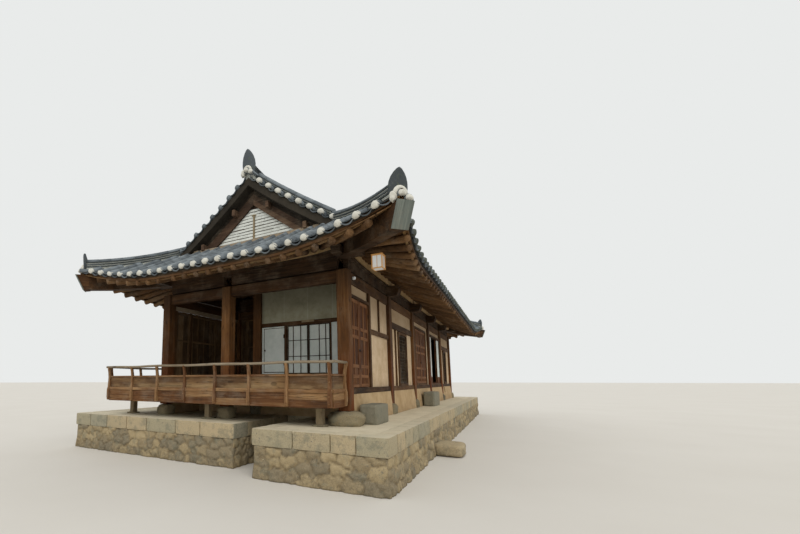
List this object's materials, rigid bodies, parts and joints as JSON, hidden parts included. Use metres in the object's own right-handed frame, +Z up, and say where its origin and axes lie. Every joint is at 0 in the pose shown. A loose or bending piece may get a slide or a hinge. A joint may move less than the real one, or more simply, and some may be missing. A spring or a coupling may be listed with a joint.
{
  "type": "hanok house",
  "caption": "One-storey timber house with a hip-and-gable tiled roof, a railed open hall at its front end and hinged panelled doors, on a stone platform.",
  "frame": {"origin": "on the ground under the middle of the roof ridge", "axes": "+X to the right of the front gable end seen from outside, +Y from the front gable end to the back, +Z up"},
  "size_m": [8.99, 17.5046, 7.2219],
  "materials": {
    "tile": "matt grey",
    "wood": "weathered brown",
    "dark_wood": "dark weathered brown",
    "lime": "white lime plaster",
    "plaster": "tan earth plaster",
    "paper": "white mulberry paper",
    "granite": "rough granite"
  },
  "bodies": {
    "house": {"roof_slope_right": "tile", "roof_slope_left": "tile", "roof_hip_back": "tile", "roof_hip_front": "tile", "eaves_right": "wood", "eaves_left": "wood", "eaves_back": "wood", "eaves_front": "wood", "main_ridge": "tile", "front_ridges": "tile", "back_ridges": "tile", "gable_wall_front": "lime", "gable_wall_back": "lime", "bargeboards_front": "dark_wood", "bargeboards_back": "dark_wood", "eave_purlins": "dark_wood", "roof_frame": "dark_wood", "frame_front": "wood", "frame_back": "wood", "frame_right": "wood", "frame_left": "wood", "room_frame": "wood", "wall_right_1": "plaster", "wall_right_2": "plaster", "wall_right_3": "plaster", "wall_right_4": "plaster", "wall_right_5": "plaster", "wall_left_1": "plaster", "wall_back_left": "plaster", "wall_back_right": "plaster", "wall_room_front": "paper", "wall_room_front_lower": "plaster", "wall_room_side": "plaster", "lattice_windows": "paper", "back_window": "wood", "folding_doors": "paper", "hall_and_room_floor": "wood", "veranda_floor": "wood", "platform_right": "granite", "platform_left": "granite", "step_stone": "granite", "underfloor_walls": "plaster", "floor_frame": "dark_wood", "railing_front": "wood", "railing_left": "wood", "railing_right": "wood", "lantern": "paper"},
    "hall_door_front": {"hall_door_front_leaf": "wood"},
    "hall_door_back": {"hall_door_back_leaf": "wood"},
    "wide_door_front": {"wide_door_front_leaf": "wood"},
    "wide_door_back": {"wide_door_back_leaf": "wood"},
    "lattice_door": {"lattice_door": "wood"},
    "paper_door": {"paper_door": "paper"}
  },
  "joints": [
    {"name": "hall_door_front_hinge", "type": "hinge", "parent": "house", "child": "hall_door_front", "pos_m": [2.525, -6.987, 2.49], "axis": [0, 0, -1], "range_deg": [0, 90]},
    {"name": "hall_door_back_hinge", "type": "hinge", "parent": "house", "child": "hall_door_back", "pos_m": [2.525, -5.828, 2.49], "axis": [0, 0, 1], "range_deg": [0, 90]},
    {"name": "wide_door_front_hinge", "type": "hinge", "parent": "house", "child": "wide_door_front", "pos_m": [2.525, -0.827, 2.545], "axis": [0, 0, -1], "range_deg": [0, 90]},
    {"name": "wide_door_back_hinge", "type": "hinge", "parent": "house", "child": "wide_door_back", "pos_m": [2.525, 0.917, 2.545], "axis": [0, 0, 1], "range_deg": [0, 90]},
    {"name": "lattice_door_hinge", "type": "hinge", "parent": "house", "child": "lattice_door", "pos_m": [2.525, -2.203, 2.335], "axis": [0, 0, 1], "range_deg": [0, 90]},
    {"name": "paper_door_hinge", "type": "hinge", "parent": "house", "child": "paper_door", "pos_m": [0.322, -5.87, 2.485], "axis": [0, 0, 1], "range_deg": [0, 90]}
  ]
}
